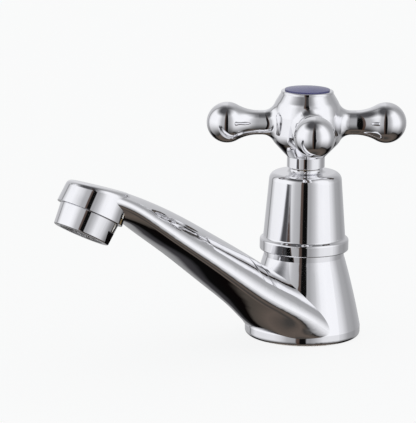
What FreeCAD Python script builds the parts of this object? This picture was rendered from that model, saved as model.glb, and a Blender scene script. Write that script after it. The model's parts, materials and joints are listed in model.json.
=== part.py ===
import FreeCAD, Part
import math
import os
import Sketcher

# A single basin pillar tap with a cross handle.  Millimetres, +Z up.
# The origin is the centre of the base's underside, on the deck.  The spout points along -Y.

doc = FreeCAD.newDocument("CrossHandleTap")
sheet = doc.addObject("Spreadsheet::Sheet", "sizes")
worked = doc.addObject("Spreadsheet::Sheet", "worked")


# ---------------------------------------------------------------- sizes and formulas

class Size:
    """A value together with the formula that keeps it tied to the sheet."""

    def __init__(self, value, text):
        self.value = float(value)
        self.text = text

    def __add__(self, other):
        other = size_of(other)
        return Size(self.value + other.value, f"({self.text} + {other.text})")

    def __radd__(self, other):
        return size_of(other) + self

    def __sub__(self, other):
        other = size_of(other)
        return Size(self.value - other.value, f"({self.text} - {other.text})")

    def __rsub__(self, other):
        return size_of(other) - self

    def __mul__(self, other):
        other = size_of(other)
        return Size(self.value * other.value, f"({self.text} * {other.text})")

    def __rmul__(self, other):
        return size_of(other) * self

    def __truediv__(self, other):
        other = size_of(other)
        return Size(self.value / other.value, f"({self.text} / {other.text})")

    def __neg__(self):
        return Size(-self.value, f"(0 - {self.text})")


def size_of(number):
    if isinstance(number, Size):
        return number
    return Size(number, repr(float(number)))


def root(size):
    return Size(math.sqrt(size.value), f"sqrt({size.text})")


def sine(angle):
    angle = size_of(angle)
    return Size(math.sin(math.radians(angle.value)), f"sin({angle.text} * 1 deg)")


def cosine(angle):
    angle = size_of(angle)
    return Size(math.cos(math.radians(angle.value)), f"cos({angle.text} * 1 deg)")


def arc_sine(ratio):
    return Size(math.degrees(math.asin(ratio.value)), f"(asin({ratio.text}) / 1 deg)")


rows_used = {"sizes": 0, "worked": 0}


def write_cell(target, name, text):
    rows_used[target.Name] += 1
    row = rows_used[target.Name]
    target.set(f"A{row}", name)
    target.set(f"B{row}", text)
    target.setAlias(f"B{row}", name)


def driving(name, value):
    """One driving dimension: a plain number in the sheet."""
    write_cell(sheet, name, str(value))
    return Size(value, f"sizes.{name}")


def formula(name, size):
    """A size worked out from the driving ones, kept in the second sheet."""
    write_cell(worked, name, "=" + size.text)
    return Size(size.value, f"worked.{name}")


# base and body
base_radius = 22.4
base_rim_height = 4.0
base_edge_round = 1.8
body_height = 31.5
body_top_radius = 15.6
body_bulge_radius = 300.0
valve_room = 10.0
seat_rise = 2.5
seat_bore_radius = 6.0
seat_land = 2.0
chamber_radius = 10.0
chamber_height = 7.0
inlet_floor = 3.0
half_inch_radius = 10.4775
thread_gap = 0.05

# spout and head
spout_reach = 102.5
head_height = 60.0
head_tilt = 27.9
head_radius = 12.8
head_depth = 10.6
head_taper = 0.8
head_wall = 2.0
head_top_tilt = 16.5
head_edge_round = 2.2
spout_root_inset = 0.2
spout_root_sink = 0.1
spout_root_narrowing = 1.2
spout_head_narrowing = 0.5
waterway_radius = 3.5
waterway_start_reach = 8.0
waterway_start_rise = 2.5
waterway_bend_share = 0.644
waterway_bend_rise = 0.853
waterway_end_inset = 4.5
waterway_end_rise = 5.2

# aerator
socket_depth = 6.0
outlet_ledge = 2.2
outlet_chamber_depth = 1.4
aerator_step = 1.4
aerator_taper = 0.7
aerator_length = 8.4
aerator_wall = 1.5
aerator_lip = 1.0
aerator_washer_thickness = 1.5
mesh_thickness = 0.5
flat_depth = 0.35
flat_height = 4.6
flat_turn = 36.0

# bonnet
flange_overhang = 1.6
flange_low = 2.4
flange_height = 4.2
bonnet_foot_step = 0.3
bonnet_taper = 2.1
bonnet_height = 32.8
bonnet_shoulder_round = 3.0
bonnet_wall = 2.2
bonnet_seal_inset = 0.6
collar_radius = 6.65
collar_foot_radius = 8.0
collar_height = 1.5
bonnet_seal_width = 1.5
bonnet_seal_thickness = 0.9

# headwork
headwork_seal_thickness = 1.0
headwork_hex_gap = 0.4
headwork_hex_height = 7.5
headwork_thread_length = 6.0
headwork_stem_radius = 8.0
headwork_cover = 3.3
headwork_neck = 12.4
bonnet_thread_length = 7.0

# spindle
spindle_gap = 0.08
barrel_radius = 6.32
barrel_bore_roof = 2.7
barrel_bore_radius = 4.0
stem_radius = 4.62
thrust_washer_thickness = 0.8
o_ring_radius = 0.7
o_ring_spacing = 4.0
o_ring_slack = 0.3
clip_thickness = 0.7
clip_radius = 6.0
clip_grip = 0.7
clip_opening = 50.0
clip_gap = 0.15
spline_radius = 4.0
spline_tooth = 0.4

# valve
valve_lift = 4.1
guide_hex = 11.0
guide_gap = 0.06
guide_length = 5.8
carrier_plate_radius = 7.8
carrier_plate_thickness = 2.0
carrier_stem_radius = 3.9
carrier_room = 0.8
valve_washer_thickness = 3.2
washer_screw_radius = 2.0
washer_screw_head_radius = 3.6
washer_screw_head_height = 1.6
washer_screw_length = 9.0

# handle
handle_gap = 0.3
handle_neck_radius = 7.3
handle_neck_height = 4.2
hub_radius = 13.7
hub_belly_drop = 6.4
hub_round = 6.0
hub_shoulder_step = 0.3
hub_shoulder_rise = 3.6
hub_cheek_step = 1.4
hub_cheek_rise = 7.9
hub_low = 13.2
hub_high = 11.5
hub_rim_radius = 10.1
hub_rim_height = 1.0
hub_rim_wall = 1.45
arm_count = 4
arm_reach = 30.7
arm_ball_radius = 7.85
arm_neck_radius = 4.7
arm_neck_length = 5.1
arm_root_margin = 0.1
arm_stem_share = 0.6
handle_angle = 55.8
handle_web = 2.2
handle_screw_room = 1.6
disc_thickness = 1.7
disc_dome = 0.8
disc_gap = 0.08
disc_plug_radius = 4.9
disc_plug_length = 3.5
handle_screw_radius = 2.0
handle_screw_head_radius = 4.0
handle_screw_head_height = 2.6
handle_screw_length = 10.0

# tail and its fixings
tail_length = 49.0
tail_bore_radius = 7.0
tail_relief_width = 1.5
tail_relief_depth = 0.8
tail_relief_drop = 0.5
tail_seal_thickness = 1.5
gasket_radius = 17.3
gasket_thickness = 2.0
loose_gap = 0.3
deck_thickness = 12.0
washer_thickness = 2.0
washer_radius = 17.0
nut_hex = 28.0
nut_height = 8.0
nut_flange_thickness = 2.0


# small gaps, roundings and steps
fine_gap = 0.1
drill_gap = 0.3
recess_gap = 0.2
shade_gap = 0.03
hidden_gap = 0.6
small_round = 0.5
fine_round = 0.4
drill_tip = 1.0
overlap = 1.0
skirt_step = 0.1
flange_step = 0.9
collar_flare_share = 0.7
o_ring_start = 2.6
o_ring_nip = 0.05
spline_teeth = 12
spline_sink = 0.5
spline_gap = 0.1
barrel_cone = 1.5
screw_tip_gap = 1.5
washer_screw_slot = 0.8
handle_screw_slot = 1.0
insert_wall = 1.6
insert_step = 1.0
washer_overlap = 0.4
disc_edge_share = 0.3

# The spout's sections from the rim to the head.  The first four columns are the highest and lowest
# points, out and up, as shares of the spout's reach and of the head's height.  The fifth is how much
# of the narrowing from rim to head is done.  The rest are shares of the section's own depth: how far
# the widest line lies below the crest, the shoulder's radius and the lower corner's radius.
SPOUT_SHAPE = (
    ("heel", -0.0585, 0.2200, 0.2390, 0.1080, 0.000, 0.540, 0.421, 0.329),
    ("spring", 0.0683, 0.3533, 0.2830, 0.1800, 0.101, 0.587, 0.413, 0.205),
    ("rise", 0.1854, 0.4800, 0.3380, 0.2700, 0.202, 0.673, 0.441, 0.180),
    ("waist", 0.3220, 0.6267, 0.4330, 0.4080, 0.315, 0.733, 0.441, 0.165),
    ("mid", 0.4780, 0.7833, 0.5640, 0.5900, 0.472, 0.768, 0.437, 0.160),
    ("fore", 0.6439, 0.9425, 0.7190, 0.7700, 0.629, 0.739, 0.386, 0.165),
    ("nape", 0.7805, 1.0533, 0.8290, 0.8960, 0.775, 0.647, 0.344, 0.195),
    ("crown", 0.8780, 1.1192, 0.9130, 0.9560, 0.876, 0.464, 0.274, 0.221),
    ("tip", 0.9561, 1.1550, 0.9854, 1.0267, 1.000, 0.436, 0.278, 0.242),
)

# Each plain number above becomes a cell of the first sheet, under its own name.
for size_name, size_value in list(globals().items()):
    if isinstance(size_value, (int, float)) and not size_name.startswith("_"):
        globals()[size_name] = driving(size_name, size_value)

# levels up the axis, from the deck
headwork_foot = formula("headwork_foot", body_height - headwork_thread_length)
seat_height = formula("seat_height", headwork_foot - valve_room)
chamber_floor = formula("chamber_floor", seat_height - seat_rise)
chamber_top = formula("chamber_top", chamber_floor + chamber_height)
inlet_ledge = formula("inlet_ledge", chamber_floor - inlet_floor)
tail_top = formula("tail_top", inlet_ledge - tail_seal_thickness)
hex_floor = formula("hex_floor", body_height + headwork_seal_thickness)
bonnet_top = formula("bonnet_top", body_height + bonnet_height)
headwork_top = formula("headwork_top", bonnet_top - headwork_cover)
spindle_foot = formula("spindle_foot", headwork_foot + guide_length)
barrel_top = formula("barrel_top", headwork_top - headwork_neck)
barrel_bore_top = formula("barrel_bore_top", barrel_top - barrel_bore_roof)
thrust_floor = formula("thrust_floor", barrel_top + spindle_gap)
thrust_top = formula("thrust_top", thrust_floor + thrust_washer_thickness)
collar_top = formula("collar_top", bonnet_top + collar_height)
handle_foot = formula("handle_foot", collar_top + handle_gap)
neck_top = formula("neck_top", handle_foot + handle_neck_height)
arm_height = formula("arm_height", neck_top + hub_low)
hub_shoulder = formula("hub_shoulder", arm_height + hub_high)
hub_top = formula("hub_top", hub_shoulder + hub_rim_height)
disc_floor = formula("disc_floor", hub_top - disc_thickness)
disc_plug_foot = formula("disc_plug_foot", disc_floor - disc_plug_length)
web_top = formula("web_top", disc_plug_foot - handle_screw_room - handle_screw_head_height)
web_floor = formula("web_floor", web_top - handle_web)
spline_top = formula("spline_top", web_floor - handle_gap)
clip_floor = formula("clip_floor", headwork_top + clip_gap)
clip_top = formula("clip_top", clip_floor + clip_thickness)
plate_floor = formula("plate_floor", seat_height + valve_washer_thickness)
plate_top = formula("plate_top", plate_floor + carrier_plate_thickness)
carrier_top = formula("carrier_top", barrel_bore_top - valve_lift - carrier_room)
deck_underside = formula("deck_underside", -deck_thickness)
nut_top = formula("nut_top", deck_underside - washer_thickness)
nut_flange_foot = formula("nut_flange_foot", nut_top - nut_flange_thickness)
nut_foot = formula("nut_foot", nut_flange_foot - nut_height)
tail_relief_top = formula("tail_relief_top", nut_foot - tail_relief_drop)
tail_relief_foot = formula("tail_relief_foot", tail_relief_top - tail_relief_width)

# sizes that follow from their neighbours
flange_radius = formula("flange_radius", body_top_radius + flange_overhang)
bonnet_foot_radius = formula("bonnet_foot_radius", body_top_radius + bonnet_foot_step)
bonnet_top_radius = formula("bonnet_top_radius", bonnet_foot_radius - bonnet_taper)
seal_inner = formula("seal_inner", bonnet_foot_radius - bonnet_wall - bonnet_seal_inset)
seal_outer = formula("seal_outer", seal_inner + bonnet_seal_width)
seal_floor = formula("seal_floor", body_height - bonnet_seal_thickness)
headwork_hex = formula("headwork_hex", (seal_inner - headwork_hex_gap) * math.sqrt(3))
collar_flare = formula("collar_flare", collar_foot_radius - collar_radius)
female_radius = formula("female_radius", half_inch_radius + thread_gap)
bore_radius = formula("bore_radius", barrel_radius + spindle_gap)
neck_bore_radius = formula("neck_bore_radius", stem_radius + spindle_gap)
socket_radius = formula("socket_radius", head_radius - head_wall)
outlet_chamber_radius = formula("outlet_chamber_radius", socket_radius - outlet_ledge)
aerator_top_radius = formula("aerator_top_radius", head_radius - aerator_step)
aerator_end_radius = formula("aerator_end_radius", aerator_top_radius - aerator_taper)
hub_shoulder_radius = formula("hub_shoulder_radius", hub_radius - hub_shoulder_step)
hub_cheek_radius = formula("hub_cheek_radius", hub_radius - hub_cheek_step)
disc_radius = formula("disc_radius", hub_rim_radius - hub_rim_wall)
disc_dome_arc = formula("disc_dome_arc", (
    disc_radius * disc_radius + disc_dome * disc_dome) / (2 * disc_dome))
spout_root_radius = formula("spout_root_radius", base_radius - spout_root_inset)
spout_root_level = formula("spout_root_level", base_rim_height - spout_root_sink)
head_top_reach = formula("head_top_reach", spout_reach - head_depth * sine(head_tilt))
head_top_height = formula("head_top_height", head_height + head_depth * cosine(head_tilt))

# the waterway: its two straight runs and the slope of the first
waterway_start_height = formula("waterway_start_height", chamber_floor + waterway_start_rise)
waterway_bend_reach = formula("waterway_bend_reach", spout_reach * waterway_bend_share)
waterway_bend_height = formula("waterway_bend_height", head_height * waterway_bend_rise)
waterway_end_reach = formula("waterway_end_reach", spout_reach - waterway_end_inset)
waterway_end_height = formula("waterway_end_height", head_height + waterway_end_rise)
waterway_run = formula("waterway_run", waterway_bend_reach - waterway_start_reach)
waterway_climb = formula("waterway_climb", waterway_bend_height - waterway_start_height)
waterway_slope = formula("waterway_slope", arc_sine(
    waterway_climb / root(waterway_run * waterway_run + waterway_climb * waterway_climb)))

# an arm's swelling end: a throat arc that runs into the ball
arm_stem_start = formula("arm_stem_start", hub_radius * arm_stem_share)
arm_neck_reach = formula("arm_neck_reach", hub_radius + arm_neck_length)
arm_root_round = formula("arm_root_round", arm_neck_length - arm_root_margin)
arm_beyond = formula("arm_beyond", arm_reach - arm_neck_reach)
arm_throat = formula("arm_throat", (
    arm_beyond * arm_beyond + arm_neck_radius * arm_neck_radius - arm_ball_radius * arm_ball_radius)
    / (2 * (arm_ball_radius - arm_neck_radius)))
arm_span = formula("arm_span", arm_throat + arm_ball_radius)
arm_join_reach = formula("arm_join_reach", arm_reach - arm_beyond * arm_ball_radius / arm_span)
arm_join_height = formula("arm_join_height", (arm_throat + arm_neck_radius) * arm_ball_radius / arm_span)


def spout_station(name, crest_out, crest_up, under_out, under_up, narrowing, widest, shoulder_share,
                  corner_share):
    """The sizes of one D-shaped section: a domed top, rounded shoulders and a flatter underside.

    It lies on the plane through its highest point and its lowest one, seen from the side."""
    tag = f"spout_{name}"
    crest_reach = formula(tag + "_crest_reach", spout_reach * crest_out)
    crest_height = formula(tag + "_crest_height", head_height * crest_up)
    run = formula(tag + "_run", spout_reach * under_out - crest_reach)
    drop = formula(tag + "_drop", crest_height - head_height * under_up)
    wide = base_radius - spout_root_narrowing
    across = formula(tag + "_across", wide - (wide - head_radius + spout_head_narrowing) * narrowing)
    length = formula(tag + "_length", root(run * run + drop * drop))
    above = formula(tag + "_above", length * widest)
    below = formula(tag + "_below", length - above)
    shoulder = formula(tag + "_shoulder_radius", length * shoulder_share)
    corner = formula(tag + "_corner_radius", length * corner_share)
    top_radius = formula(tag + "_top", (
        (across - shoulder) * (across - shoulder) + above * above - shoulder * shoulder)
        / (2 * (above - shoulder)))
    low_radius = formula(tag + "_low", (
        (across - corner) * (across - corner) + below * below - corner * corner)
        / (2 * (below - corner)))
    top_span = top_radius - shoulder
    low_span = low_radius - corner
    return {
        "name": name,
        "across": across,
        "radii": (top_radius, shoulder, corner, low_radius),
        "tilt": formula(tag + "_tilt", arc_sine(run / length)),
        "join": (formula(tag + "_join_x", top_radius * (across - shoulder) / top_span),
                 formula(tag + "_join_y", (top_radius - above) * shoulder / top_span)),
        "foot": (formula(tag + "_foot_x", low_radius * (across - corner) / low_span),
                 formula(tag + "_foot_y", -((low_radius - below) * corner / low_span))),
        "level": formula(tag + "_level", crest_height - above * drop / length),
        "reach": formula(tag + "_reach", crest_reach + above * run / length),
    }


STATION_WORDS = (
    "crest_out", "crest_up", "under_out", "under_up", "narrowing", "widest", "shoulder", "corner")
spout_stations = []
for station_name, *station_values in SPOUT_SHAPE:
    named_values = zip(STATION_WORDS, station_values)
    shares = [driving(f"{station_name}_{word}", value) for word, value in named_values]
    spout_stations.append(spout_station(station_name, *shares))


# ---------------------------------------------------------------- sketch and feature helpers

def new_body(node):
    body = doc.addObject("PartDesign::Body", node)
    body.Label = node
    return body


def origin_item(body, role):
    for item in body.Origin.OriginFeatures:
        if item.Role == role:
            return item
    raise ValueError(role)


def bind(item, prop, size):
    item.setExpression(prop, size_of(size).text)


def new_sketch(body, name, plane="XZ_Plane", shift=(0, 0, 0), turn=None):
    """A sketch on one of the body's own planes, moved by shift and then turned about an axis."""
    sketch = body.newObject("Sketcher::SketchObject", name)
    sketch.AttachmentSupport = [(origin_item(body, plane), "")]
    sketch.MapMode = "FlatFace"
    values = [size_of(part).value for part in shift]
    rotation = FreeCAD.Rotation()
    if turn:
        axis, angle = turn
        rotation = FreeCAD.Rotation(FreeCAD.Vector(*axis), angle.value)
    sketch.AttachmentOffset = FreeCAD.Placement(FreeCAD.Vector(*values), rotation)
    for letter, part in zip("xyz", shift):
        if isinstance(part, Size):
            bind(sketch, f"AttachmentOffset.Base.{letter}", part)
    if turn:
        bind(sketch, "AttachmentOffset.Rotation.Angle", turn[1])
    return sketch


def place(sketch, geometry, position, name, across, up):
    """Holds one point of a sketch at a pair of sizes."""
    for kind, axis, size, letter in (("DistanceX", -2, across, "x"), ("DistanceY", -1, up, "y")):
        size = size_of(size)
        if size.value == 0 and not size.text.startswith(("worked", "sizes", "(")):
            sketch.addConstraint(Sketcher.Constraint("PointOnObject", geometry, position, axis))
            continue
        index = sketch.addConstraint(
            Sketcher.Constraint(kind, -1, 1, geometry, position, size.value))
        sketch.renameConstraint(index, f"{name}_{letter}")
        bind(sketch, f"Constraints.{name}_{letter}", size)


def hold_radius(sketch, geometry, name, size):
    size = size_of(size)
    index = sketch.addConstraint(Sketcher.Constraint("Radius", geometry, size.value))
    sketch.renameConstraint(index, name)
    bind(sketch, f"Constraints.{name}", size)


def arc_between(start, end, radius, side):
    """An arc of under half a circle; side +1 has its centre on the left of the way from start to end."""
    middle = (start + end) * 0.5
    way = end - start
    half = way.Length / 2
    lift = math.sqrt(max(radius * radius - half * half, 0.0))
    left = FreeCAD.Vector(-way.y, way.x, 0).normalize()
    centre = middle + left * (lift * side)
    first = math.atan2(start.y - centre.y, start.x - centre.x)
    last = math.atan2(end.y - centre.y, end.x - centre.x)
    circle = Part.Circle(centre, FreeCAD.Vector(0, 0, 1), radius)
    if side > 0:
        return Part.ArcOfCircle(circle, first, last), 1, 2
    return Part.ArcOfCircle(circle, last, first), 2, 1


def outline(sketch, path):
    """A closed outline.  A corner is (across, up) or (across, up, rounding radius);
    between two corners, ("arc", radius, side) makes the edge an arc."""
    corners = []
    edges = []
    for item in path:
        if item[0] == "arc":
            edges[-1] = item
        else:
            corners.append(item)
            edges.append(None)
    count = len(corners)
    points = [FreeCAD.Vector(size_of(c[0]).value, size_of(c[1]).value, 0) for c in corners]

    def trimmed(here, towards, radius, other):
        one = (towards - here).normalize()
        two = (other - here).normalize()
        return here + one * (radius / math.tan(one.getAngle(two) / 2))

    starts = list(points)
    ends = points[1:] + points[:1]
    for index, corner in enumerate(corners):
        if len(corner) == 3:
            before = points[index - 1]
            after = points[(index + 1) % count]
            starts[index] = trimmed(points[index], after, size_of(corner[2]).value, before)
            ends[index - 1] = trimmed(points[index], before, size_of(corner[2]).value, after)
    made = []
    for index, edge in enumerate(edges):
        if edge:
            shape, first, last = arc_between(starts[index], ends[index], size_of(edge[1]).value, edge[2])
            geometry = sketch.addGeometry(shape, False)
            hold_radius(sketch, geometry, f"e{index}_radius", edge[1])
            made.append((geometry, first, last))
        else:
            line = Part.LineSegment(starts[index], ends[index])
            made.append((sketch.addGeometry(line, False), 1, 2))
    for index, corner in enumerate(corners):
        before, _, before_end = made[index - 1]
        after, after_start, _ = made[index]
        if len(corner) == 2:
            sketch.addConstraint(
                Sketcher.Constraint("Coincident", before, before_end, after, after_start))
            place(sketch, after, after_start, f"c{index}", corner[0], corner[1])
            continue
        turning = (points[index] - points[index - 1]).cross(points[(index + 1) % count] - points[index]).z
        side = 1 if turning > 0 else -1
        shape, first, last = arc_between(ends[index - 1], starts[index], size_of(corner[2]).value, side)
        geometry = sketch.addGeometry(shape, False)
        mark = sketch.addGeometry(Part.Point(points[index]), True)
        place(sketch, mark, 1, f"c{index}", corner[0], corner[1])
        sketch.addConstraint(Sketcher.Constraint("PointOnObject", mark, 1, before))
        sketch.addConstraint(Sketcher.Constraint("PointOnObject", mark, 1, after))
        sketch.addConstraint(Sketcher.Constraint("Tangent", before, before_end, geometry, first))
        sketch.addConstraint(Sketcher.Constraint("Tangent", geometry, last, after, after_start))
        hold_radius(sketch, geometry, f"c{index}_radius", corner[2])
    return sketch


def volume_of(body):
    return body.Shape.Volume if not body.Shape.isNull() else 0.0


def turned(body, name, path, cut=False, angle=None, axis="V_Axis", **where):
    """A solid of revolution, or a turned cut, about an axis of its sketch."""
    sketch = outline(new_sketch(body, name + "Outline", **where), path)
    before = volume_of(body)
    kind = "PartDesign::Groove" if cut else "PartDesign::Revolution"
    feature = body.newObject(kind, name)
    feature.Profile = sketch
    feature.ReferenceAxis = (sketch, [axis])
    feature.Angle = 360.0
    if angle is not None:
        bind(feature, "Angle", angle)
    sketch.Visibility = False
    doc.recompute()
    check_change(body, name, before, cut)
    return feature


def padded(body, name, path, length, cut=False, through=False, reverse=False, **where):
    """A pad or a pocket of an outline."""
    sketch = outline(new_sketch(body, name + "Outline", **where), path)
    before = volume_of(body)
    feature = body.newObject("PartDesign::Pocket" if cut else "PartDesign::Pad", name)
    feature.Profile = sketch
    feature.Reversed = reverse
    bind(feature, "Length", length)
    if through:
        feature.Midplane = True
    doc.recompute()
    check_change(body, name, before, cut)
    return feature


def check_change(body, name, before, cut):
    after = volume_of(body)
    if (cut and not after < before - 1e-6) or (not cut and not after > before + 1e-6):
        raise ValueError(f"{body.Label}: {name} changed nothing ({before:.3f} to {after:.3f})")


def ring(node, inner, outer, low, high):
    """A plain washer or seal: a flat ring between two levels."""
    body = new_body(node)
    turned(body, "Ring", [(inner, low), (outer, low), (outer, high), (inner, high)])
    return body


def hexagon(across_flats):
    """The six corners of a hexagon with two flats facing along Y."""
    long = across_flats / math.sqrt(3)
    short = long / 2
    flat = across_flats / 2
    return [(long, 0), (short, flat), (-short, flat), (-long, 0), (-short, -flat), (short, -flat)]


def star(tip_radius, tooth):
    """A splined outline: pointed teeth round a circle."""
    path = []
    teeth = int(spline_teeth.value)
    valley_radius = tip_radius - tooth
    for index in range(2 * teeth):
        radius = tip_radius if index % 2 == 0 else valley_radius
        angle = 180.0 * (index + 0.5) / teeth
        path.append((radius * math.cos(math.radians(angle)), radius * math.sin(math.radians(angle))))
    return path


# ---------------------------------------------------------------- the cast body with its spout

def spout_section(body, station):
    """One section across the spout, drawn on its own tilted plane."""
    sketch = new_sketch(body, f"Spout{station['name'].capitalize()}", "XZ_Plane",
                        (0, station["level"], station["reach"]), ((1, 0, 0), -station["tilt"]))
    six_arcs(sketch, station["join"], station["across"], station["foot"], station["radii"])
    return sketch


def six_arcs(sketch, join, across, foot, radii):
    """The spout's outline: top, shoulder, lower corner, underside, lower corner, shoulder."""
    top, shoulder, corner, low = radii
    outline(sketch, [
        (join[0], join[1]), ("arc", top, 1),
        (-join[0], join[1]), ("arc", shoulder, 1),
        (-across, 0), ("arc", corner, 1),
        (-foot[0], foot[1]), ("arc", low, 1),
        (foot[0], foot[1]), ("arc", corner, 1),
        (across, 0), ("arc", shoulder, 1),
    ])


def spout_root(body, radius, level):
    """The spout's first section: the rim's own circle, lying flat and split as the others are."""
    join = (radius * math.sin(math.radians(50)), radius * math.cos(math.radians(50)))
    foot = (radius * math.sin(math.radians(55)), -(radius * math.cos(math.radians(55))))
    sketch = new_sketch(body, "SpoutRoot", "XY_Plane", (0, 0, level))
    six_arcs(sketch, join, radius, foot, (radius, radius, radius, radius))
    return sketch


def tilted_plane(reach, height, tilt):
    """Where a sketch on the YZ plane goes so that its own Y axis runs up the head's axis."""
    return {"plane": "YZ_Plane", "shift": (-reach, height, 0), "turn": ((0, 0, 1), -tilt)}


def make_tap_body():
    body = new_body("tap_body")
    lower_face = tilted_plane(spout_reach, head_height, head_tilt)
    # the head: a tapered round cap, cut flatter on top than its lower face
    tall = head_depth + head_radius / 2
    narrow = head_radius - head_taper * tall / head_depth
    turned(body, "Head", [(0, 0), (head_radius, 0), (narrow, tall), (0, tall)], **lower_face)
    wide = 2 * head_radius
    padded(body, "HeadTop", [(-wide, 0), (wide, 0), (wide, wide), (-wide, wide)], 4 * head_radius,
           cut=True, through=True, **tilted_plane(head_top_reach, head_top_height, head_top_tilt))
    cut_top = body.Tip
    top_edges = []
    for number, edge in enumerate(cut_top.Shape.Edges):
        closed = len(edge.Vertexes) == 1
        if closed and edge.CenterOfMass.z > (head_height + head_depth / 2).value:
            top_edges.append(f"Edge{number + 1}")
    rounding = body.newObject("PartDesign::Fillet", "HeadRounding")
    rounding.Base = (cut_top, top_edges)
    rounding.Radius = head_edge_round.value
    bind(rounding, "Radius", head_edge_round)
    doc.recompute()
    # the spout, from the rim's circle to inside the head
    sections = [spout_root(body, spout_root_radius, spout_root_level)]
    for station in spout_stations:
        sections.append(spout_section(body, station))
    spout = body.newObject("PartDesign::AdditiveLoft", "Spout")
    spout.Profile = sections[0]
    spout.Sections = sections[1:]
    doc.recompute()
    # the conical body, slightly bulged, on its rim
    turned(body, "Cone", [
        (0, 0), (base_radius, 0, base_edge_round), (base_radius, base_rim_height),
        ("arc", body_bulge_radius, 1), (body_top_radius, body_height), (0, body_height)])
    # the inside: gasket recess, tail socket, seat, chamber and headwork socket
    turned(body, "Inside", [
        (0, 0), (gasket_radius + recess_gap, 0), (gasket_radius + recess_gap, gasket_thickness),
        (female_radius, gasket_thickness), (female_radius, inlet_ledge),
        (seat_bore_radius, inlet_ledge), (seat_bore_radius, seat_height),
        (seat_bore_radius + seat_land, seat_height), (seat_bore_radius + seat_land, chamber_floor),
        (chamber_radius, chamber_floor), (chamber_radius, chamber_top),
        (female_radius, chamber_top), (female_radius, body_height), (0, body_height)], cut=True)
    turned(body, "SealRecess", [
        (seal_inner, seal_floor), (seal_outer, seal_floor),
        (seal_outer, body_height), (seal_inner, body_height)], cut=True)
    # the threaded socket for the aerator, and the passage that feeds it
    turned(body, "AeratorSocket", [
        (0, 0), (socket_radius, 0), (socket_radius, socket_depth),
        (outlet_chamber_radius, socket_depth),
        (outlet_chamber_radius, socket_depth + outlet_chamber_depth),
        (0, socket_depth + outlet_chamber_depth)], cut=True, **lower_face)
    make_waterway(body)
    return body


def make_waterway(body):
    """The passage up the spout: two straight runs joined by a gentle bend."""
    start = (-waterway_start_reach, waterway_start_height)
    bend = (-waterway_bend_reach, waterway_bend_height)
    end = (-waterway_end_reach, waterway_end_height)
    path = new_sketch(body, "WaterwayPath", "YZ_Plane")
    points = [FreeCAD.Vector(size_of(x).value, size_of(y).value, 0) for x, y in (start, bend, end)]
    first = path.addGeometry(Part.LineSegment(points[0], points[1]), False)
    second = path.addGeometry(Part.LineSegment(points[1], points[2]), False)
    path.addConstraint(Sketcher.Constraint("Coincident", first, 2, second, 1))
    place(path, first, 1, "start", *start)
    place(path, second, 1, "bend", *bend)
    place(path, second, 2, "end", *end)
    mouth = new_sketch(body, "WaterwayMouth", "XZ_Plane",
                       (0, waterway_start_height, waterway_start_reach), ((1, 0, 0), -waterway_slope))
    circle = mouth.addGeometry(Part.Circle(FreeCAD.Vector(0, 0, 0), FreeCAD.Vector(0, 0, 1),
                                           waterway_radius.value), False)
    mouth.addConstraint(Sketcher.Constraint("Coincident", circle, 3, -1, 1))
    hold_radius(mouth, circle, "radius", waterway_radius)
    before = volume_of(body)
    pipe = body.newObject("PartDesign::SubtractivePipe", "Waterway")
    pipe.Profile = mouth
    pipe.Spine = (path, ["Edge1", "Edge2"])
    pipe.Transition = "Round corner"
    doc.recompute()
    check_change(body, "Waterway", before, True)


# ---------------------------------------------------------------- bonnet and headwork

def make_bonnet():
    body = new_body("bonnet")
    roof = bonnet_top - bonnet_wall
    skirt_radius = body_top_radius - skirt_step
    flange_foot = body_height + flange_low
    flange_top = flange_foot + flange_height
    thread = headwork_stem_radius + thread_gap
    turned(body, "Shell", [
        (skirt_radius, body_height), (skirt_radius, flange_foot),
        (flange_radius, flange_foot, fine_round), (flange_radius, flange_top, flange_step),
        (bonnet_foot_radius, flange_top + flange_step, flange_step),
        (bonnet_top_radius, bonnet_top, bonnet_shoulder_round),
        (collar_foot_radius, bonnet_top), ("arc", collar_flare, -1),
        (collar_radius, bonnet_top + collar_height * collar_flare_share), (collar_radius, collar_top),
        (stem_radius + hidden_gap, collar_top), (stem_radius + hidden_gap, clip_top + hidden_gap),
        (clip_radius + hidden_gap, clip_top + hidden_gap),
        (clip_radius + hidden_gap, headwork_top + fine_gap), (thread, headwork_top + fine_gap),
        (thread, headwork_top - bonnet_thread_length),
        (headwork_stem_radius + bonnet_wall, headwork_top - bonnet_thread_length),
        (headwork_stem_radius + bonnet_wall, roof),
        (bonnet_top_radius - bonnet_wall - fine_round, roof, hidden_gap),
        (bonnet_foot_radius - bonnet_wall, body_height)])
    return body


def make_headwork():
    body = new_body("headwork_body")
    turned(body, "Barrel", [
        (0, headwork_foot), (half_inch_radius, headwork_foot, small_round),
        (half_inch_radius, hex_floor + overlap), (headwork_stem_radius, hex_floor + overlap),
        (headwork_stem_radius, headwork_top, fine_round),
        (0, headwork_top)])
    padded(body, "Hex", hexagon(headwork_hex), headwork_hex_height,
           plane="XY_Plane", shift=(0, 0, hex_floor))
    turned(body, "Bore", [
        (0, headwork_foot), (small_round, headwork_foot), (small_round, spindle_foot - recess_gap),
        (bore_radius, spindle_foot - recess_gap), (bore_radius, thrust_top),
        (neck_bore_radius, thrust_top), (neck_bore_radius, headwork_top), (0, headwork_top)], cut=True)
    padded(body, "GuideSocket", hexagon(guide_hex + 2 * guide_gap), spindle_foot - headwork_foot,
           cut=True, reverse=True, plane="XY_Plane", shift=(0, 0, headwork_foot))
    return body


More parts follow.
